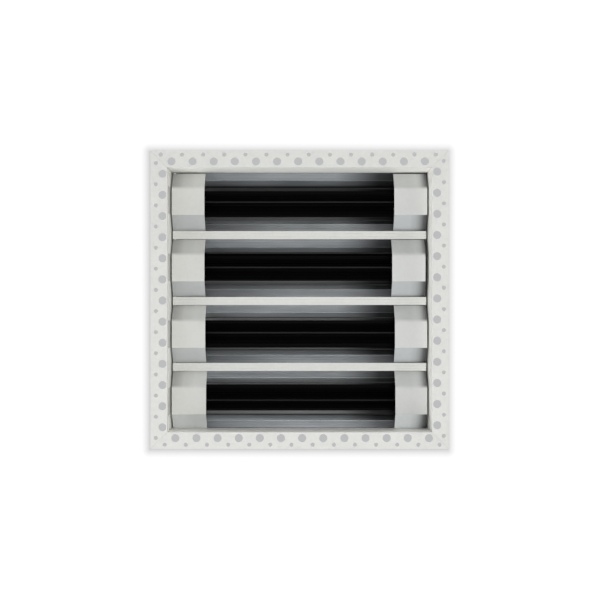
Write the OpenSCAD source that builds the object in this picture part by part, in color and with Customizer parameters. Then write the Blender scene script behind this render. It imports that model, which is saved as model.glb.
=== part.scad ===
// Trimless four-slot linear air diffuser for a plastered ceiling.
// Installed attitude: the visible face is the plane z = 0 and looks down, +Z points up into the ceiling void,
// and the slots run along X. The origin is the centre of the visible face. All sizes are in millimetres.

/* [Plaster-in frame] */
// Outside size of the square perforated flange
face_size = 184; // [183:0.5:186]
// Width of the flange, from its outer edge to the inside of the neck
flange_w = 10.25; // [10.2:0.05:10.6]
// Thickness of the folded frame sheet
sheet_t = 0.7; // [0.5:0.05:0.7]
// Height of the neck above the visible face
neck_h = 45; // [45:1:60]
// Hairline left open at each mitred corner
mitre_gap = 0.14; // [0.05:0.01:0.3]

/* [Plaster key holes] */
// Diameter of the large holes of the inner row
hole_d_large = 5; // [4:0.1:5]
// Diameter of the small holes of the outer row
hole_d_small = 2.5; // [2:0.1:2.6]
// Distance between neighbouring holes of a row
hole_pitch = 13.05; // [12.9:0.05:13.1]
// Distance of the large holes from the flange's outer edge
hole_row_large = 7.0; // [6.6:0.1:7]
// Distance of the small holes from the flange's outer edge
hole_row_small = 2.9; // [2.5:0.1:3]
// Holes in the inner row of each strip
hole_n = 13; // [3:1:13]

/* [Core] */
// Distance between the centres of neighbouring slots
slot_pitch = 42; // [41.9:0.05:42]
// Width of a divider bar's face
bar_w = 5; // [4.8:0.1:5]
// Depth of the bar faces behind the visible face
bar_z = 19; // [18.5:0.5:19]
// Length of the core over its end plates
core_len = 161.4; // [160.6:0.2:162]
// Height of the core's top edge above the visible face
core_top = 43.2; // [43:0.2:44]
// Sideways rest position of the core in the neck
core_dy = 0.4; // [0:0.1:0.5]
// Thickness of the core's end plates
end_plate_t = 1.5; // [1.2:0.1:1.5]

/* [Deflector blades] */
// Radius of the pivot bead along a blade's root
bead_r = 1.5; // [1.4:0.05:1.5]
// Radial clearance between the bead and its socket
bead_clear = 0.05; // [0.03:0.01:0.08]
// Thickness of a blade's leaf
leaf_t = 1.0; // [0.8:0.1:1.0]
// Half of the light gap between two closed blades
tip_gap = 0.2; // [0.15:0.05:0.5]
// Half length of a blade
blade_half = 77.8; // [70:0.1:77.8]

/* [End covers] */
// Depth of the covers' flat faces behind the visible face
cover_z = 14; // [13:0.5:15]
// Half width of a cover's flat face
cover_flat = 8.7; // [8:0.1:9]
// Thickness of the cover sheet
cover_t = 0.8; // [0.6:0.1:0.8]

/* [Hidden] */
$fn = 48;

half = face_size / 2;              // flange half size
neck = half - flange_w;            // half of the clear neck opening
neck_out = neck + sheet_t;         // half of the neck over its walls
plate_out = core_len / 2;          // outer face of the end plates
plate_in = plate_out - end_plate_t;
bar_face_t = 3;                    // thickness of a bar's face flange
rail_z = bar_z + bar_face_t;       // front edge of the slot rails
web_t = 1.6;                       // thickness of a bar's web
leg_in = slot_pitch / 2 - web_t / 2;  // where an inner rail meets the web
leg_out = 18;                      // outer side of the outermost rail at the back
leg_front = 18.9;                  // and at the front, close to the neck wall
hinge_y = 10.2;                    // blade pivot, from the slot's centre line
hinge_z = 34.5;                    // blade pivot, above the visible face
socket_t = 0.8;                    // wall of the pivot socket
rail_top = hinge_z + bead_r + bead_clear + socket_t + 0.1;
wall = 1.2;                        // general wall of the extruded rails
port_r = 1.25;                     // bore of the screw ports
port_z_bar = 40.8;                 // screw port height in a bar
port_z_rail = 31;                  // screw port height in a rail
screw_r = 1.2;                     // screw shank in a port
tab_z = 27;                        // height of a cover's fixing screw
cover_edge = 18.2;                 // where a cover's sloping side ends
cover_edge_z = 20.8;
cover_in_left = [60.1, 60.1, 59.6, 59.1];   // inner ends of the covers as fitted
cover_in_right = [59.9, 58.6, 60.3, 60.6];

function slot_y(i) = core_dy + (i - 1.5) * slot_pitch;
function bar_y(i) = core_dy + (i - 1) * slot_pitch;
function arc(cx, cy, r, a0, a1, n) = [for (k = [0 : n]) let (a = a0 + (a1 - a0) * k / n) [cx + r * cos(a), cy + r * sin(a)]];

// Extrudes a (y, z) section along X from x0 to x1.
module along_x(x0, x1) translate([x0, 0, 0]) rotate([90, 0, 90]) linear_extrude(x1 - x0) children();
module rod_x(x0, x1, r, y, z) translate([x0, y, z]) rotate([0, 90, 0]) cylinder(h = x1 - x0, r = r);

// ---- frame ----
// One mitred strip: perforated flange with the neck wall folded up from it, drawn on the -Y side.
module frame_strip(off, row_large, row_small) {
    c = mitre_gap / sqrt(2);
    k = half + 4;
    difference() {
        intersection() {
            union() {
                translate([-half, -half, 0]) cube([2 * half, flange_w, sheet_t]);
                translate([-half, -neck_out, 0]) cube([2 * half, sheet_t, neck_h]);
            }
            translate([0, 0, -1]) linear_extrude(neck_h + 2) polygon([[0, -c], [c - k, -k], [k - c, -k]]);
        }
        for (i = [0 : hole_n - 1])
            translate([off + (i - (hole_n - 1) / 2) * hole_pitch, -half + row_large, -1])
                cylinder(h = sheet_t + 1.3, d = hole_d_large, $fn = 32);
        for (i = [0 : hole_n])
            translate([off + (i - hole_n / 2) * hole_pitch, -half + row_small, -1])
                cylinder(h = sheet_t + 2, d = hole_d_small, $fn = 24);
    }
}
module side_holes(ys) for (y = ys) rod_x(-100, 100, 1.6, y, port_z_bar);
module rivet_holes_strip() for (x = [-76, -67, 67, 76]) translate([x, -half, 24]) rotate([-90, 0, 0]) cylinder(h = 20, r = 1.6, $fn = 24);
module end_wall_strip(a, off, row_large, row_small) color("whitesmoke") rotate([0, 0, a]) difference() {
    frame_strip(off, row_large, row_small);
    rivet_holes_strip();
}
module frame_front() end_wall_strip(0, -0.8, hole_row_large - 0.5, hole_row_small - 0.6);
module frame_back() end_wall_strip(180, -1.6, hole_row_large - 0.35, hole_row_small - 0.3);
module frame_left() color("whitesmoke") difference() { end_wall_strip(270, -0.4, hole_row_large + 0.4, hole_row_small + 0.4); side_holes([bar_y(0), bar_y(2)]); }
module frame_right() color("whitesmoke") difference() { end_wall_strip(90, -0.9, hole_row_large, hole_row_small); side_holes([bar_y(0), bar_y(2)]); }

// Folded angle behind a mitred corner, with its rivet holes.
module corner_angle(sx, sy) color("silver") mirror([sx < 0 ? 1 : 0, 0, 0]) mirror([0, sy < 0 ? 1 : 0, 0])
    difference() {
        union() {
            translate([neck_out, neck_out - 22, 12]) cube([1.2, 23.2, 24]);
            translate([neck_out - 22, neck_out, 12]) cube([22, 1.2, 24]);
        }
        for (d = [67, 76]) {
            rod_x(neck_out - 1, neck_out + 3, 1.6, d, 24);
            translate([d, neck_out + 3, 24]) rotate([90, 0, 0]) cylinder(h = 4, r = 1.6);
        }
    }
module corner_angle_front_left() corner_angle(-1, -1);
module corner_angle_front_right() corner_angle(1, -1);
module corner_angle_back_left() corner_angle(-1, 1);
module corner_angle_back_right() corner_angle(1, 1);

// A flush-shank rivet standing on the plane z = 0, its head outward.
module rivet() {
    translate([0, 0, -sheet_t - 1.2]) cylinder(h = sheet_t + 1.3, r = 1.55, $fn = 24);
    intersection() {
        translate([0, 0, -2.3]) sphere(r = 3.5);
        cylinder(h = 2, r = 2.7);
    }
}
module corner_rivets() color("silver") for (a = [0, 90, 180, 270], d = [-76, -67, 67, 76])
    rotate([0, 0, a]) translate([d, -neck_out - 1.2, 24]) rotate([90, 0, 0]) rivet();

// ---- core ----
module bar_face() difference() {
    translate([-bar_w / 2, bar_z]) square([bar_w, bar_face_t]);
    for (s = [-1, 1]) translate([s * 0.95, bar_z]) polygon([[-0.22, -0.1], [0.22, -0.1], [0.08, 0.2], [-0.08, 0.2]]);
}
module bar_web() difference() {
    union() {
        translate([-web_t / 2, rail_z]) square([web_t, core_top - rail_z]);
        translate([0, port_z_bar]) circle(r = 2.2);
    }
    translate([0, port_z_bar]) circle(r = port_r);
}
module divider_bar(i) color("gainsboro") translate([0, bar_y(i), 0]) {
    along_x(-plate_out, plate_out) bar_face();
    along_x(-plate_in, plate_in) translate([-web_t / 2, rail_z - 1]) square([web_t, 3]);
    along_x(-plate_in, plate_in) bar_web();
}
module divider_bar_1() divider_bar(0);
module divider_bar_2() divider_bar(1);
module divider_bar_3() divider_bar(2);

// Hollow slot rail on the +Y side of a slot: throat wall in three facets, then the pivot socket for a blade.
function wide(leg) = leg == leg_front ? 0.9 : 0;   // the front rail's throat wall stands a little further out
module rail_outline(leg) polygon(concat(
    leg < 19 ? [[leg, rail_z + 0.15]] : [[leg, rail_z], [18.2, rail_z]],
    [[13.9 + wide(leg), 25.3], [13.55 + wide(leg), 25.3], [10.75 + wide(leg), 29.4], [10.65, 32.6], [10.2, rail_top], [leg, rail_top]]));
module rail_hollow(leg) polygon(concat(
    leg < 19 ? [[leg - wall, rail_z + 2.6]] : [[leg - wall, rail_z + 1.3], [leg - 2.3, rail_z + 1.7]],
    [[14.4 + wide(leg), 26.4], [12.05 + wide(leg), 29.9], [11.8, 32.6], [11.6, rail_top - wall], [leg - wall, rail_top - wall]]));
module slot_rail(i, s, leg) color("darkgray") translate([0, slot_y(i), 0]) mirror([0, s < 0 ? 1 : 0, 0]) {
    e = leg < 19 ? leg : 18.2;
    ez = leg < 19 ? rail_z + 0.15 : rail_z;
    difference() {
        union() {
            difference() {
                along_x(-plate_in, plate_in) rail_outline(leg);
                along_x(-plate_in - 1, plate_in + 1) rail_hollow(leg);
            }
            rod_x(-plate_in, plate_in, bead_r + bead_clear + socket_t, hinge_y, hinge_z);
            rod_x(-plate_in, plate_in, 2.1, leg - 3, port_z_rail);
        }
        rod_x(-plate_in - 1, plate_in + 1, port_r, leg - 3, port_z_rail);
        // small rolled grooves along the first facet
        for (d = [0.3, 0.6]) along_x(-plate_in - 1, plate_in + 1)
            translate([13.9 + wide(leg) + (e - 13.9 - wide(leg)) * d, 25.3 + (ez - 25.3) * d]) rotate(-37) square([0.28, 0.28], center = true);
        rod_x(-plate_in - 1, plate_in + 1, bead_r + bead_clear, hinge_y, hinge_z);
        along_x(-plate_in - 1, plate_in + 1) translate([hinge_y, hinge_z])
            polygon([[0, 0], 3.4 * [cos(150), sin(150)], 3.4 * [cos(190), sin(190)], 3.4 * [cos(230), sin(230)], 3.4 * [cos(267), sin(267)]]);
    }
}
module slot_rail_1a() slot_rail(0, -1, leg_front);
module slot_rail_1b() slot_rail(0, 1, leg_in);
module slot_rail_2a() slot_rail(1, -1, leg_in);
module slot_rail_2b() slot_rail(1, 1, leg_in);
module slot_rail_3a() slot_rail(2, -1, leg_in);
module slot_rail_3b() slot_rail(2, 1, leg_in);
module slot_rail_4a() slot_rail(3, -1, leg_in);
module slot_rail_4b() slot_rail(3, 1, leg_out);

// Curved deflector blade on the +Y side of a slot, closed: bead, leaf, and tip beside the slot's centre line.
module blade_section(lip) {
    ty = tip_gap + leaf_t / 2;      // tip's centre line
    ay = 7.2;                       // centre of the curve
    ar = ay - ty;                   // radius of the curve
    az = hinge_z - ar;
    translate([hinge_y, hinge_z]) circle(r = bead_r);
    translate([ay, hinge_z - leaf_t / 2]) square([hinge_y - ay, leaf_t]);
    intersection() {
        translate([ay, az]) difference() { circle(r = ar + leaf_t / 2); circle(r = ar - leaf_t / 2); }
        translate([ay - 10, az]) square([10, 10]);
    }
    translate([ty - leaf_t / 2, az - 2.6]) square([leaf_t, 2.6]);
    translate([ty, az - 2.6]) circle(r = leaf_t / 2);
    // lip on one blade of each pair, which closes the light gap behind the two tips
    if (lip) translate([-0.65, az + 3.2]) square([2.6, 0.6]);
    // longitudinal ribs on the room side
    for (a = [100, 118, 136, 154, 172]) translate([ay + (ar - leaf_t / 2) * cos(a), az + (ar - leaf_t / 2) * sin(a)]) circle(r = 0.3, $fn = 24);
}
module blade(i, s) color("black") translate([0, slot_y(i), 0]) mirror([0, s < 0 ? 1 : 0, 0])
    along_x(-blade_half, blade_half) blade_section(s > 0);
module blade_1a() blade(0, -1);
module blade_1b() blade(0, 1);
module blade_2a() blade(1, -1);
module blade_2b() blade(1, 1);
module blade_3a() blade(2, -1);
module blade_3b() blade(2, 1);
module blade_4a() blade(3, -1);
module blade_4b() blade(3, 1);

module countersink(x, s, y, z, r) translate([x, y, z]) rotate([0, s * 90, 0]) translate([0, 0, -1.2]) cylinder(h = 1.2, r1 = r - 1.2, r2 = r);
function port_ys() = concat([for (i = [0 : 3], s = [-1, 1]) slot_y(i) + s * ((i == 0 && s < 0 ? leg_front : i == 3 && s > 0 ? leg_out : leg_in) - 3)]);
module end_plate(s) color("silver") difference() {
    translate([s > 0 ? plate_in : -plate_out, -81.6, rail_z]) cube([end_plate_t, 163, core_top - rail_z]);
    for (y = port_ys()) { rod_x(-100, 100, screw_r + 0.1, y, port_z_rail); countersink(s * plate_out, s, y, port_z_rail, 2.55); }
    rod_x(-100, 100, screw_r + 0.1, bar_y(1), port_z_bar);
    countersink(s * plate_out, s, bar_y(1), port_z_bar, 2.55);
    for (i = [0, 2]) rod_x(-100, 100, 1.6, bar_y(i), port_z_bar);
    for (i = [0 : 3]) { rod_x(-100, 100, screw_r + 0.1, slot_y(i), tab_z); countersink(s * plate_out, s, slot_y(i), tab_z, 2.55); }
}
module end_plate_left() end_plate(-1);
module end_plate_right() end_plate(1);

// Countersunk screw, head flush with the end plate, running inward.
module flush_screw(s, y, z, len) difference() {
    union() {
        countersink(s * plate_out, s, y, z, 2.5);
        if (s > 0) rod_x(plate_out - len, plate_out - 0.5, screw_r, y, z);
        else rod_x(-plate_out + 0.5, -plate_out + len, screw_r, y, z);
    }
    for (a = [0, 90]) translate([s * plate_out, y, z]) rotate([a, 0, 0]) cube([1.2, 0.6, 2.8], center = true);
}
module end_screws(s) color("silver") { for (y = port_ys()) flush_screw(s, y, port_z_rail, 11); flush_screw(s, bar_y(1), port_z_bar, 11); }
module end_screws_left() end_screws(-1);
module end_screws_right() end_screws(1);
module cover_screws(s) color("silver") for (i = [0 : 3]) flush_screw(s, slot_y(i), tab_z, 2.6);
module cover_screws_left() cover_screws(-1);
module cover_screws_right() cover_screws(1);

// Long pan-head screws through the neck wall into the outer bars, and the washers that hold the core off the neck.
module core_screws() color("silver") for (s = [-1, 1], i = [0, 2]) mirror([s < 0 ? 1 : 0, 0, 0]) difference() {
    union() {
        rod_x(plate_out - 13, neck_out + 1, screw_r, bar_y(i), port_z_bar);
        translate([neck_out, bar_y(i), port_z_bar]) rotate([0, 90, 0]) { cylinder(h = 1.2, r = 2.9); translate([0, 0, 1.2]) cylinder(h = 0.8, r1 = 2.9, r2 = 2.1); }
    }
    for (a = [0, 90]) translate([neck_out + 2, bar_y(i), port_z_bar]) rotate([a, 0, 0]) cube([2, 0.6, 3], center = true);
}
module core_spacers() color("dimgray") for (s = [-1, 1], i = [0, 2]) mirror([s < 0 ? 1 : 0, 0, 0]) difference() {
    rod_x(plate_out, neck, 2.35, bar_y(i), port_z_bar);
    rod_x(plate_out - 1, neck + 1, 1.6, bar_y(i), port_z_bar);
}

// Bent white cover at a slot's end: flat face, a soft bend to -Y, a sharp bend to +Y, and a fixing tab.
module cover_section() {
    m = (cover_edge_z - cover_z) / (cover_edge - cover_flat);
    a = atan(m);
    r = 5;                                   // outside radius of the soft bend
    t = r * tan(a / 2);                      // tangent length of that bend
    v = cover_t / cos(a);                    // sheet measured along z on the slope
    k = cover_t * tan(a / 2);
    polygon(concat(
        [[-cover_edge, cover_edge_z]],
        arc(-cover_flat + t, cover_z + r, r, 270 - a, 270, 8),
        [[cover_flat, cover_z], [cover_edge, cover_edge_z], [cover_edge, cover_edge_z + v],
         [cover_flat - k, cover_z + cover_t]],
        arc(-cover_flat + t, cover_z + r, r - cover_t, 270, 270 - a, 8),
        [[-cover_edge, cover_edge_z + v]]));
}
module end_cover(i, s, xin) color("white") translate([0, slot_y(i), 0]) mirror([s < 0 ? 1 : 0, 0, 0]) difference() {
    union() {
        along_x(xin, i == 1 && s > 0 ? plate_out - 1.1 : plate_out) cover_section();
        translate([plate_in - cover_t, -5, cover_z + 0.3]) cube([cover_t, 10, 16]);
    }
    rod_x(0, 100, screw_r + 0.1, 0, tab_z);
}
module end_cover_1_left() end_cover(0, -1, cover_in_left[0]);
module end_cover_2_left() end_cover(1, -1, cover_in_left[1]);
module end_cover_3_left() end_cover(2, -1, cover_in_left[2]);
module end_cover_4_left() end_cover(3, -1, cover_in_left[3]);
module end_cover_1_right() end_cover(0, 1, cover_in_right[0]);
module end_cover_2_right() end_cover(1, 1, cover_in_right[1]);
module end_cover_3_right() end_cover(2, 1, cover_in_right[2]);
module end_cover_4_right() end_cover(3, 1, cover_in_right[3]);

frame_front();
frame_back();
frame_left();
frame_right();
corner_angle_front_left();
corner_angle_front_right();
corner_angle_back_left();
corner_angle_back_right();
corner_rivets();
end_plate_left();
end_plate_right();
divider_bar_1();
divider_bar_2();
divider_bar_3();
slot_rail_1a();
slot_rail_1b();
slot_rail_2a();
slot_rail_2b();
slot_rail_3a();
slot_rail_3b();
slot_rail_4a();
slot_rail_4b();
blade_1a();
blade_1b();
blade_2a();
blade_2b();
blade_3a();
blade_3b();
blade_4a();
blade_4b();
end_cover_1_left();
end_cover_2_left();
end_cover_3_left();
end_cover_4_left();
end_cover_1_right();
end_cover_2_right();
end_cover_3_right();
end_cover_4_right();
end_screws_left();
end_screws_right();
cover_screws_left();
cover_screws_right();
core_screws();
core_spacers();
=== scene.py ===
# Looks for the plaster-in four-slot ceiling diffuser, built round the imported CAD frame. Metres, z = 0 is the visible face.
import math
import bpy
import bmesh
from mathutils import Vector, Matrix

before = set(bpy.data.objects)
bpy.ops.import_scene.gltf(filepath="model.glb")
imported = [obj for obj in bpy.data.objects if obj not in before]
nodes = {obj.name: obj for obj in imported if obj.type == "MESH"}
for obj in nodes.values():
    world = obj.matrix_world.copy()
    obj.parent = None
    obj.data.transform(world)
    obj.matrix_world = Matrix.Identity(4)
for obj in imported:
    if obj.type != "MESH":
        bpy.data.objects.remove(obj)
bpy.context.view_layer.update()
scene = bpy.context.scene

# ------------------------------------------------------------------ material helpers
def new_mat(name):
    m = bpy.data.materials.new(name)
    m.use_nodes = True
    m.node_tree.nodes.clear()
    return m, m.node_tree

def node(nt, kind, **values):
    n = nt.nodes.new(kind)
    for k, v in values.items():
        if k.startswith("_"):
            setattr(n, k[1:], v)
        else:
            n.inputs[k.replace("__", " ")].default_value = v
    return n

def link(nt, a, b):
    nt.links.new(a, b)

def coords(nt, scale=(1, 1, 1)):
    t = nt.nodes.new("ShaderNodeTexCoord")
    m = nt.nodes.new("ShaderNodeMapping")
    m.inputs["Scale"].default_value = scale
    link(nt, t.outputs["Object"], m.inputs["Vector"])
    return m.outputs["Vector"]

def noise(nt, vec, scale, detail=3.0, rough=0.5):
    n = nt.nodes.new("ShaderNodeTexNoise")
    n.inputs["Scale"].default_value = scale
    n.inputs["Detail"].default_value = detail
    n.inputs["Roughness"].default_value = rough
    link(nt, vec, n.inputs["Vector"])
    return n.outputs["Fac"]

def ramp(nt, fac, stops):
    r = nt.nodes.new("ShaderNodeValToRGB")
    el = r.color_ramp.elements
    while len(el) < len(stops):
        el.new(0.5)
    for e, (p, c) in zip(el, stops):
        e.position = p
        e.color = (*c, 1.0) if len(c) == 3 else c
    link(nt, fac, r.inputs["Fac"])
    return r.outputs["Color"]

def maths(nt, op, a, b=None, clamp=False):
    n = nt.nodes.new("ShaderNodeMath")
    n.operation = op
    n.use_clamp = clamp
    for i, v in enumerate((a, b)):
        if v is None:
            continue
        if isinstance(v, (int, float)):
            n.inputs[i].default_value = v
        else:
            link(nt, v, n.inputs[i])
    return n.outputs[0]

# Object position along one axis, 0 at lo and 1 at hi.
def along(nt, axis, lo, hi):
    t = nt.nodes.new("ShaderNodeTexCoord")
    q = nt.nodes.new("ShaderNodeSeparateXYZ")
    link(nt, t.outputs["Object"], q.inputs[0])
    return maths(nt, "DIVIDE", maths(nt, "SUBTRACT", q.outputs[axis], lo), hi - lo, clamp=True)

# How far a surface faces along one axis of the part, 0 to 1.
def facing(nt, axis):
    g = nt.nodes.new("ShaderNodeNewGeometry")
    q = nt.nodes.new("ShaderNodeSeparateXYZ")
    link(nt, g.outputs["Normal"], q.inputs[0])
    return maths(nt, "ABSOLUTE", q.outputs[axis])

def blend(nt, fac, a, b):
    n = nt.nodes.new("ShaderNodeMix")
    n.data_type = "RGBA"
    link(nt, fac, n.inputs["Factor"])
    link(nt, a, n.inputs["A"])
    link(nt, b, n.inputs["B"])
    return n.outputs["Result"]

def grey(stops):
    return [(a, (b, b, b)) for a, b in stops]

def times(nt, a, b):
    n = nt.nodes.new("ShaderNodeMix")
    n.data_type = "RGBA"
    n.blend_type = "MULTIPLY"
    n.inputs["Factor"].default_value = 1.0
    link(nt, a, n.inputs["A"])
    link(nt, b, n.inputs["B"])
    return n.outputs["Result"]

def plus(nt, a, b):
    n = nt.nodes.new("ShaderNodeMix")
    n.data_type = "RGBA"
    n.blend_type = "ADD"
    n.inputs["Factor"].default_value = 1.0
    link(nt, a, n.inputs["A"])
    link(nt, b, n.inputs["B"])
    return n.outputs["Result"]

def bsdf(nt, **values):
    p = nt.nodes.new("ShaderNodeBsdfPrincipled")
    o = nt.nodes.new("ShaderNodeOutputMaterial")
    link(nt, p.outputs[0], o.inputs[0])
    for k, v in values.items():
        p.inputs[k.replace("__", " ")].default_value = v
    return p

def bump(nt, height, strength, distance, p, normal=None):
    b = nt.nodes.new("ShaderNodeBump")
    b.inputs["Strength"].default_value = strength
    b.inputs["Distance"].default_value = distance
    link(nt, height, b.inputs["Height"])
    if normal is not None:
        link(nt, normal, b.inputs["Normal"])
    if p is not None:
        link(nt, b.outputs[0], p.inputs["Normal"])
    return b.outputs[0]

# Powder coat: off-white, faint cloudy mottling, orange-peel skin and a few specks of dust and scuff.
def powder(name, light, dark, mottle=0.5, rough=0.52, peel=0.25, grime=(0.62, 0.61, 0.58), shade=None):
    m, nt = new_mat(name)
    p = bsdf(nt, Metallic=0.0)
    p.inputs["Specular IOR Level"].default_value = 0.38
    p.inputs["Coat Weight"].default_value = 0.06
    p.inputs["Coat Roughness"].default_value = 0.35
    v = coords(nt)
    cloud = noise(nt, v, 55.0, 4.0, 0.62)
    fleck = noise(nt, v, 420.0, 2.0, 0.6)
    mix1 = maths(nt, "MULTIPLY", cloud, mottle)
    mix2 = maths(nt, "MULTIPLY", fleck, 1.0 - mottle)
    tone = maths(nt, "ADD", mix1, mix2)
    col = ramp(nt, tone, [(0.36, dark), (0.62, light)])
    # sparse specks of dust and scuff
    speck = noise(nt, v, 900.0, 1.0, 0.5)
    speck = maths(nt, "GREATER_THAN", speck, 0.775)
    mixc = nt.nodes.new("ShaderNodeMix")
    mixc.data_type = "RGBA"
    mixc.inputs["B"].default_value = (*grime, 1)
    link(nt, maths(nt, "MULTIPLY", speck, 0.35), mixc.inputs["Factor"])
    link(nt, col, mixc.inputs["A"])
    col = mixc.outputs["Result"]
    if shade:
        col = shade(nt, col)
    link(nt, col, p.inputs["Base Color"])
    link(nt, ramp(nt, cloud, [(0.3, (rough - 0.05,) * 3), (0.7, (rough + 0.08,) * 3)]), p.inputs["Roughness"])
    skin = noise(nt, v, 1500.0, 2.0, 0.5)
    wave = noise(nt, v, 120.0, 1.0, 0.5)
    n1 = bump(nt, skin, peel, 0.00006, None)
    bump(nt, wave, 0.15, 0.0002, p, n1)
    return m

# Extruded aluminium: die lines along X, satin.
def extruded(name, light, dark, metallic, rough, line=0.5, aniso=0.4, spec=0.5, shade=(), flat_face_shade=1.0, deep_shade=None):
    m, nt = new_mat(name)
    p = bsdf(nt, Metallic=metallic)
    p.inputs["Specular IOR Level"].default_value = spec
    p.inputs["Anisotropic"].default_value = aniso
    v = coords(nt, (6.0, 900.0, 900.0))
    lines = noise(nt, v, 1.0, 4.0, 0.65)
    v2 = coords(nt, (30.0, 160.0, 160.0))
    cloud = noise(nt, v2, 1.0, 2.0, 0.5)
    tone = maths(nt, "ADD", maths(nt, "MULTIPLY", lines, line), maths(nt, "MULTIPLY", cloud, 1.0 - line))
    col = ramp(nt, tone, [(0.34, dark), (0.66, light)])
    # painted shade and light: ramps along the part's axes, an X ramp on faces more than 25.5 mm behind the face, and a
    # darker tone on faces facing along Z
    for axis, lo, hi, stops in shade:
        col = times(nt, col, ramp(nt, along(nt, axis, lo, hi), grey(stops)))
    if deep_shade:
        far = ramp(nt, along(nt, "X", -0.062, 0.062), grey(deep_shade))
        col = times(nt, col, blend(nt, along(nt, "Z", 0.0252, 0.0256), ramp(nt, lines, grey([(0.0, 1.0), (1.0, 1.0)])), far))
    if flat_face_shade < 1.0:
        col = times(nt, col, ramp(nt, facing(nt, "Z"), grey([(0.86, 1.0), (0.96, flat_face_shade)])))
    link(nt, col, p.inputs["Base Color"])
    link(nt, ramp(nt, lines, [(0.3, (rough - 0.06,) * 3), (0.7, (rough + 0.08,) * 3)]), p.inputs["Roughness"])
    bump(nt, lines, 0.25, 0.00005, p)
    return m

# Zinc plate or mill-finish metal with soft crystalline clouds.
def plated(name, light, dark, rough, scale=260.0, metallic=1.0):
    m, nt = new_mat(name)
    p = bsdf(nt, Metallic=metallic)
    v = coords(nt)
    vor = nt.nodes.new("ShaderNodeTexVoronoi")
    vor.inputs["Scale"].default_value = scale
    link(nt, v, vor.inputs["Vector"])
    cloud = noise(nt, v, scale * 0.6, 3.0, 0.6)
    tone = maths(nt, "ADD", maths(nt, "MULTIPLY", vor.outputs["Color"], 0.35), maths(nt, "MULTIPLY", cloud, 0.65))
    link(nt, ramp(nt, tone, [(0.3, dark), (0.7, light)]), p.inputs["Base Color"])
    link(nt, ramp(nt, cloud, [(0.3, (rough - 0.07,) * 3), (0.7, (rough + 0.1,) * 3)]), p.inputs["Roughness"])
    bump(nt, noise(nt, v, 1400.0, 2.0, 0.5), 0.15, 0.00004, p)
    return m

# The neck walls behind the flange are painted brighter than the flange face, as painted light; painted shadow falls on
# the left neck wall beside the covers' front faces, and a band of painted shade 12 to 14 mm behind the face lies on the
# +Y neck wall.
def frame_shade(nt, col):
    col = times(nt, col, ramp(nt, along(nt, "Z", 0.0006, 0.0016), [(0.0, (0.845, 0.843, 0.837)), (1.0, (1.06, 1.05, 1.03))]))
    t = nt.nodes.new("ShaderNodeTexCoord")
    q = nt.nodes.new("ShaderNodeSeparateXYZ")
    link(nt, t.outputs["Object"], q.inputs[0])
    one = ramp(nt, q.outputs["Z"], grey([(0.0, 1.0), (1.0, 1.0)]))
    # painted shade band on the inner face of the +Y neck wall
    back_wall_shade = maths(nt, "MULTIPLY", maths(nt, "GREATER_THAN", q.outputs["Y"], 0.0808), maths(nt, "LESS_THAN", q.outputs["Y"], 0.0819))
    col = times(nt, col, blend(nt, back_wall_shade, one, ramp(nt, along(nt, "Z", 0.004, 0.020), grey([(0.0, 1.0), (0.36, 0.96), (0.50, 0.52), (0.62, 0.52), (0.68, 1.0), (1.0, 1.0)]))))
    # painted shadow on the left neck wall beside each cover's front face
    left = maths(nt, "MULTIPLY", maths(nt, "LESS_THAN", q.outputs["X"], -0.0808), maths(nt, "GREATER_THAN", q.outputs["X"], -0.0819))
    turn = maths(nt, "PINGPONG", maths(nt, "DIVIDE", maths(nt, "SUBTRACT", q.outputs["Y"], 0.0214), 0.042), 0.5)
    cover_shadow = maths(nt, "MULTIPLY", left, maths(nt, "DIVIDE", maths(nt, "SUBTRACT", 0.218, turn), 0.025, clamp=True))
    return times(nt, col, blend(nt, cover_shadow, one, ramp(nt, along(nt, "Z", 0.002, 0.022), grey([(0.0, 1.0), (0.2, 0.62), (0.60, 0.62), (0.75, 1.0), (1.0, 1.0)]))))

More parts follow.
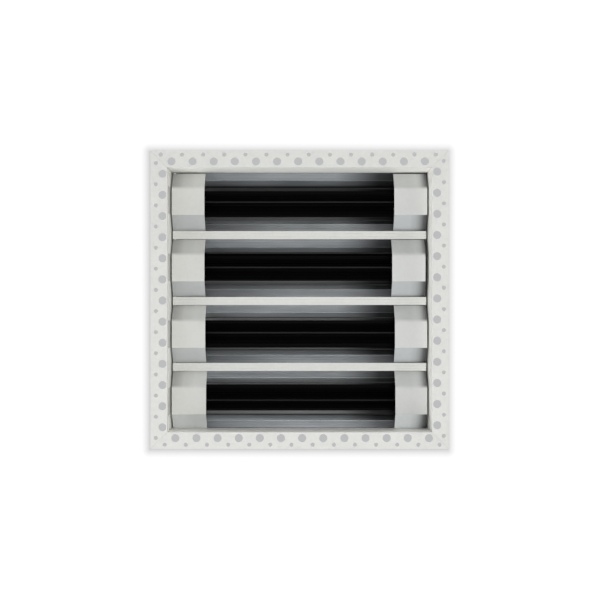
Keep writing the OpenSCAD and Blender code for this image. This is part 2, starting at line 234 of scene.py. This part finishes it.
# Folded covers: painted shade on the sloping sides, with separate tones for the sides facing -Y and +Y, painted shadow
# towards the neck walls, and painted light on the front faces at the left end.
def cover_shade(nt, col, shade_up, shade_down, last_slope_light):
    # painted shadow on the sloping sides towards each neck wall
    upper_slope_shade = times(nt, ramp(nt, along(nt, "X", -0.0805, -0.066), grey([(0.0, 0.56), (0.25, 0.67), (0.5, 0.88), (0.8, 0.94), (1.0, 1.0)])),
                  ramp(nt, along(nt, "X", 0.070, 0.0805), grey([(0.0, 1.0), (0.35, 1.05), (0.47, 1.0), (0.59, 0.92), (0.71, 0.69), (0.83, 0.42), (1.0, 0.16)])))
    lower_slope_shade = times(nt, ramp(nt, along(nt, "X", -0.0805, -0.066), grey([(0.0, 0.89), (0.2, 0.98), (0.5, 1.0), (1.0, 0.93)])),
                  ramp(nt, along(nt, "X", 0.070, 0.0805), grey([(0.0, 1.0), (0.23, 0.89), (0.35, 0.83), (0.47, 0.71), (0.59, 0.57), (0.71, 0.36), (0.83, 0.17), (1.0, 0.08)])))
    g = nt.nodes.new("ShaderNodeNewGeometry")
    q = nt.nodes.new("ShaderNodeSeparateXYZ")
    link(nt, g.outputs["Normal"], q.inputs[0])
    up = maths(nt, "MULTIPLY", maths(nt, "ADD", q.outputs["Y"], 1.0), 0.5, clamp=True)
    # painted shade: sides facing -Y and +Y get their own tones
    tone = ramp(nt, up, [(0.3, shade_up), (0.7, shade_down)])
    # painted light on the sloping sides of the two +Y covers, much stronger on the outermost cover's +Y side, which the
    # neck wall shades
    outer = ramp(nt, along(nt, "Y", 0.0200, 0.0720), grey([(0.0, 1.0), (0.1, 1.06), (0.96, 1.06), (1.0, last_slope_light)]))
    slope_shade = times(nt, times(nt, tone, outer), blend(nt, maths(nt, "GREATER_THAN", up, 0.5), upper_slope_shade, lower_slope_shade))
    side = maths(nt, "DIVIDE", maths(nt, "SUBTRACT", facing(nt, "Y"), 0.10), 0.40, clamp=True)
    side = maths(nt, "MULTIPLY", side, maths(nt, "GREATER_THAN", 0.93, facing(nt, "X")))
    # painted light on the front faces towards the left neck wall
    flat_face_light = ramp(nt, along(nt, "X", -0.0805, -0.061), grey([(0.0, 1.06), (0.4, 1.03), (0.7, 1.0), (1.0, 0.97)]))
    return times(nt, col, blend(nt, side, flat_face_light, slope_shade))

frame_paint = powder("frame_powder", (0.925, 0.925, 0.90), (0.86, 0.862, 0.84), 0.55, 0.55, 0.25, shade=frame_shade)
bar_paint = powder("bar_powder", (0.765, 0.77, 0.736), (0.716, 0.721, 0.687), 0.6, 0.42, 0.2)
# The left and right covers are copies of one coat with different painted light: the left copy is painted lighter, and
# each has its own shade tones for its sloping sides.
cover_left = powder("cover_powder_left", (0.745, 0.748, 0.715), (0.707, 0.710, 0.679), 0.6, 0.5, 0.2,
                    shade=lambda nt, col: cover_shade(nt, col, (0.89, 0.90, 0.91), (0.705, 0.728, 0.755), 1.30))
cover_right = powder("cover_powder_right", (0.715, 0.722, 0.708), (0.678, 0.685, 0.671), 0.6, 0.5, 0.2,
                     shade=lambda nt, col: cover_shade(nt, col, (0.85, 0.86, 0.865), (0.765, 0.787, 0.815), 1.64))
# Painted shade and light on the rails: darker further behind the face and towards each end under the covers, brighter
# at some left ends, and each rail a copy with its own painted brightness.
END_SHADE_A = [(0.0, 1.70), (0.05, 1.10), (0.10, 0.90), (0.20, 0.92), (0.34, 1.0), (0.69, 0.96), (0.78, 0.66), (0.85, 0.34), (0.91, 0.12), (1.0, 0.06)]
END_SHADE_B = [(0.0, 0.55), (0.06, 0.60), (0.12, 0.62), (0.20, 0.68), (0.34, 0.86), (0.50, 1.0), (0.72, 1.03), (0.82, 0.80), (0.90, 0.46), (1.0, 0.34)]
END_SHADE_ROOT = [(0.0, 0.70), (0.12, 0.76), (0.34, 0.92), (0.50, 1.0), (0.70, 0.88), (0.80, 0.50), (0.88, 0.20), (1.0, 0.08)]
DEEP_SHADE_B = [(0.0, 1.85), (0.12, 1.85), (0.34, 1.45), (0.50, 1.30), (0.72, 1.0), (0.82, 0.60), (0.90, 0.35), (1.0, 0.30)]
# painted light: the brightness of each rail's copy, and of some left ends
RAIL_LIGHT = {"1a": 0.66, "2a": 0.66, "3a": 0.81, "4a": 0.97, "1b": 0.95, "2b": 0.91, "3b": 0.83, "4b": 1.00}
LEFT_END_LIGHT = {"1b": 0.72, "2b": 0.80, "4b": 1.35}
def rail_mat(side):
    k = RAIL_LIGHT[side]
    facet_b_light = {"1a": 0.82, "2a": 0.90, "3a": 1.16, "4a": 1.16, "2b": 1.12}.get(side, 0.95)
    end_shade = END_SHADE_A if side[1] == "a" else [(a, b * (1 + (LEFT_END_LIGHT.get(side, 1.0) - 1) * max(0.0, 1 - a / 0.34))) for a, b in END_SHADE_B]
    return extruded("rail_anodised_" + side, (0.50 * k, 0.525 * k, 0.55 * k), (0.34 * k, 0.36 * k, 0.38 * k), 0.6, 0.42, flat_face_shade=0.62,
                    shade=[("Z", 0.022, 0.037, [(0.0, 1.0), (0.22, 1.0), (0.25, facet_b_light), (0.49, facet_b_light * 0.95), (0.53, 0.30), (0.66, 0.16), (0.70, 0.012), (0.93, 0.012), (0.99, 0.7)]),
                           ("X", -0.062, 0.062, end_shade)],
                    deep_shade=None if side[1] == "a" else DEEP_SHADE_B)
rail_mats = {side: rail_mat(side) for side in RAIL_LIGHT}

# Black blades; a painted highlight strip beside the hinge of some, and a painted highlight along the free edge of one
# blade in each pair.
def blade_mat(name, root_highlight, tip_highlight):
    slot, side = int(name[6]) - 1, name[7]
    yc = 0.0004 + (slot - 1.5) * 0.042
    m, nt = new_mat(name + "_anodised")
    p = bsdf(nt, Metallic=0.0, Roughness=0.5)
    p.inputs["Specular IOR Level"].default_value = 0.035
    lines = noise(nt, coords(nt, (6.0, 900.0, 900.0)), 1.0, 4.0, 0.65)
    col = ramp(nt, lines, [(0.34, (0.0006, 0.0006, 0.0008)), (0.66, (0.0018, 0.0018, 0.0022))])
    pale = ramp(nt, lines, [(0.34, (0.75, 0.78, 0.80)), (0.66, (1.0, 1.0, 1.0))])
    # painted highlight strip beside the hinge
    if root_highlight:
        sgn = -1 if side == "a" else 1
        edge = yc + sgn * root_highlight[1] / 1000
        far = yc + sgn * 0.0125
        rf = ramp(nt, along(nt, "Y", edge, edge + sgn * 0.0006), grey([(0.0, 0.0), (1.0, root_highlight[0])]))
        rf = times(nt, rf, ramp(nt, along(nt, "Z", 0.0325, 0.0332), grey([(0.0, 0.0), (1.0, 1.0)])))
        rf = times(nt, rf, ramp(nt, along(nt, "X", -0.062, 0.062), grey(END_SHADE_A if side == "a" else END_SHADE_ROOT)))
        col = plus(nt, col, times(nt, rf, pale))
    # painted highlight along the free edge
    if tip_highlight:
        tf = ramp(nt, along(nt, "Z", 0.0249, 0.0256), grey([(0.0, tip_highlight), (0.6, tip_highlight * 0.5), (1.0, 0.0)]))
        col = plus(nt, col, times(nt, tf, pale))
    link(nt, col, p.inputs["Base Color"])
    link(nt, ramp(nt, lines, [(0.3, (0.44,) * 3), (0.7, (0.58,) * 3)]), p.inputs["Roughness"])
    bump(nt, lines, 0.25, 0.00005, p)
    return m

ROOT_HIGHLIGHT = {"blade_1a": (0.065, 8.6), "blade_3a": (0.23, 8.4), "blade_4a": (0.19, 8.6),
        "blade_1b": (0.17, 8.0), "blade_2b": (0.17, 7.4), "blade_3b": (0.23, 8.9), "blade_4b": (0.37, 8.0)}
TIP_HIGHLIGHT = {"blade_1a": 0.028, "blade_2a": 0.030, "blade_3a": 0.030, "blade_4b": 0.030}
blade_mats = {n: blade_mat(n, ROOT_HIGHLIGHT.get(n), TIP_HIGHLIGHT.get(n)) for n in nodes if n.startswith("blade_")}
plate_left = extruded("plate_mill_left", (0.80, 0.81, 0.81), (0.68, 0.69, 0.69), 0.55, 0.42)
# painted shadow: the right end plate is near-black up to 24 mm behind the face, fading out by 30 mm
plate_right = extruded("plate_mill_right", (0.80, 0.81, 0.81), (0.68, 0.69, 0.69), 0.55, 0.42, shade=[("Z", 0.024, 0.030, [(0.0, 0.05), (1.0, 1.0)])])
zinc = plated("zinc_plate", (0.74, 0.75, 0.76), (0.50, 0.51, 0.53), 0.34)
screw = plated("screw_zinc", (0.70, 0.69, 0.66), (0.42, 0.42, 0.42), 0.28, 500.0)
nylon, nt = new_mat("nylon_black")
p = bsdf(nt, Roughness=0.6)
p.inputs["Base Color"].default_value = (0.03, 0.03, 0.032, 1)
bump(nt, noise(nt, coords(nt), 900.0, 2.0, 0.5), 0.2, 0.00005, p)

def material_for(name):
    if name.startswith("frame_"):
        return frame_paint
    if name.startswith("divider_bar"):
        return bar_paint
    if name.startswith("end_cover"):
        return cover_left if name.endswith("left") else cover_right
    if name.startswith("slot_rail"):
        return rail_mats[name[-2:]]
    if name.startswith("blade_"):
        return blade_mats[name]
    if name.startswith("end_plate"):
        return plate_left if name.endswith("left") else plate_right
    if name.startswith("corner_"):
        return zinc
    if name == "core_spacers":
        return nylon
    return screw

BEVEL = {"frame_": 0.00012, "divider_bar": 0.0003, "end_cover": 0.00018, "slot_rail": 0.00012, "blade_": 0.00008,
         "end_plate": 0.0001, "corner_angle": 0.0003, "core_screws": 0.0002, "end_screws": 0.00005, "cover_screws": 0.00005}

def finish_node(name, obj):
    obj.data.materials.clear()
    obj.data.materials.append(material_for(name))
    for poly in obj.data.polygons:
        poly.use_smooth = True
        poly.material_index = 0
    w = obj.modifiers.new("weld", "WELD")
    w.merge_threshold = 0.000004
    d = obj.modifiers.new("planar", "DECIMATE")
    d.decimate_type = "DISSOLVE"
    d.angle_limit = math.radians(0.4)
    width = next((v for k, v in BEVEL.items() if name.startswith(k)), None)
    if width:
        b = obj.modifiers.new("edge", "BEVEL")
        b.width = width
        b.segments = 2
        b.limit_method = "ANGLE"
        b.angle_limit = math.radians(32)
        b.use_clamp_overlap = True
        b.miter_outer = "MITER_ARC"
    n = obj.modifiers.new("normals", "WEIGHTED_NORMAL")
    n.keep_sharp = True
    n.weight = 80

for name, obj in nodes.items():
    finish_node(name, obj)

# ------------------------------------------------------------------ stage
HALF = 0.0921

def sheet_with_hole(name, z, outer, hole):
    me = bpy.data.meshes.new(name)
    o, h = outer, hole
    v = [(-o, -o, z), (o, -o, z), (o, o, z), (-o, o, z), (-h, -h, z), (h, -h, z), (h, h, z), (-h, h, z)]
    f = [(0, 1, 5, 4), (1, 2, 6, 5), (2, 3, 7, 6), (3, 0, 4, 7)]
    me.from_pydata(v, [], f)
    ob = bpy.data.objects.new(name, me)
    scene.collection.objects.link(ob)
    return ob

under = sheet_with_hole("ceiling_underside", 0.0007, 9.0, HALF)
m, nt = new_mat("ceiling_white")
p = bsdf(nt, Roughness=0.9)
p.inputs["Specular IOR Level"].default_value = 0.1
tc = nt.nodes.new("ShaderNodeTexCoord")
sep = nt.nodes.new("ShaderNodeSeparateXYZ")
link(nt, tc.outputs["Object"], sep.inputs[0])
# the soft shadow round the flange leans towards -X and +Y
ax = maths(nt, "ABSOLUTE", maths(nt, "ADD", sep.outputs["X"], 0.0005))
ay = maths(nt, "ABSOLUTE", maths(nt, "SUBTRACT", sep.outputs["Y"], 0.0005))
dx = maths(nt, "MAXIMUM", maths(nt, "SUBTRACT", ax, 0.092), 0.0)
dy = maths(nt, "MAXIMUM", maths(nt, "SUBTRACT", ay, 0.092), 0.0)
dist = maths(nt, "SQRT", maths(nt, "ADD", maths(nt, "MULTIPLY", dx, dx), maths(nt, "MULTIPLY", dy, dy)))
fac = maths(nt, "DIVIDE", dist, 0.0065, clamp=True)
halo = ramp(nt, fac, grey([(0.0, 0.58), (0.066, 0.63), (0.123, 0.663), (0.22, 0.713), (0.314, 0.755), (0.415, 0.795), (0.523, 0.837), (0.63, 0.868), (0.723, 0.893), (0.83, 0.915), (1.0, 1.0)]))
mul = nt.nodes.new("ShaderNodeMix")
mul.data_type = "RGBA"
mul.blend_type = "MULTIPLY"
mul.inputs["Factor"].default_value = 1.0
mul.inputs["B"].default_value = (0.25, 0.25, 0.25, 1)
link(nt, halo, mul.inputs["A"])
link(nt, mul.outputs["Result"], p.inputs["Base Color"])
link(nt, halo, p.inputs["Emission Color"])
p.inputs["Emission Strength"].default_value = 0.86
under.data.materials.append(m)

floor = sheet_with_hole("floor", 0.00085, 9.0, HALF)
m, nt = new_mat("floor_pale")
p = bsdf(nt, Roughness=0.7)
p.inputs["Specular IOR Level"].default_value = 0.25
link(nt, ramp(nt, noise(nt, coords(nt), 4.0, 3.0, 0.5), [(0.3, (0.52, 0.52, 0.515)), (0.7, (0.56, 0.56, 0.555))]), p.inputs["Base Color"])
floor.data.materials.append(m)

# ------------------------------------------------------------------ camera
cam = bpy.data.cameras.new("camera")
cam.sensor_width = 36.0
cam.lens = 36.0 * 600 / (600 / 1.62)
cam.clip_start, cam.clip_end = 0.01, 20
cam_ob = bpy.data.objects.new("camera", cam)
scene.collection.objects.link(cam_ob)
cam_ob.location = (0.0003, 0.0101, -0.600)
cam.shift_y = 0.0270
cam_ob.rotation_euler = (math.pi, 0, 0)
scene.camera = cam_ob

# ------------------------------------------------------------------ lights
def area(name, loc, target, size, power, color=(1, 1, 1)):
    l = bpy.data.lights.new(name, "AREA")
    l.shape = "RECTANGLE"
    l.size, l.size_y = size
    l.energy = power
    l.color = color
    ob = bpy.data.objects.new(name, l)
    scene.collection.objects.link(ob)
    ob.location = loc
    ob.rotation_euler = (Vector(target) - Vector(loc)).to_track_quat("-Z", "Y").to_euler()
    return ob

area("front_below", (0.06, 0.04, -1.1), (0, 0, 0), (0.35, 0.35), 4.0, (1.0, 0.995, 0.975))
area("low_left", (-0.62, 0.80, -0.60), (0, 0, 0), (0.8, 0.8), 5.7, (0.98, 0.99, 1.0))
area("right_below", (0.80, -0.22, -0.66), (0, 0, 0), (0.35, 0.35), 1.4, (1.0, 0.995, 0.98))
area("key_above", (-0.55, -0.75, 0.85), (0, 0, 0.02), (0.5, 0.5), 5.5, (1.0, 0.985, 0.96))
area("fill_above", (0.9, 0.5, 0.7), (0, 0, 0.02), (0.9, 0.9), 1.5, (0.95, 0.98, 1.0))

# Pale surroundings above; below the ceiling a bright band near the horizon, as from the pale walls of a room, and a dimmer floor.
world = bpy.data.worlds.new("world")
scene.world = world
world.use_nodes = True
wn = world.node_tree
wt = wn.nodes.new("ShaderNodeTexCoord")
wsep = wn.nodes.new("ShaderNodeSeparateXYZ")
link(wn, wt.outputs["Generated"], wsep.inputs[0])
wfac = maths(wn, "MULTIPLY", maths(wn, "ADD", wsep.outputs["Z"], 1.0), 0.5, clamp=True)
link(wn, ramp(wn, wfac, [(0.0, (0.20, 0.202, 0.205)), (0.26, (0.22, 0.222, 0.225)), (0.36, (1.30, 1.31, 1.32)), (0.485, (1.30, 1.31, 1.32)),
                         (0.499, (0.505, 0.51, 0.515)), (1.0, (0.505, 0.51, 0.515))]), wn.nodes["Background"].inputs[0])
wn.nodes["Background"].inputs[1].default_value = 1.0
scene.view_settings.view_transform = "Standard"
scene.view_settings.look = "None"
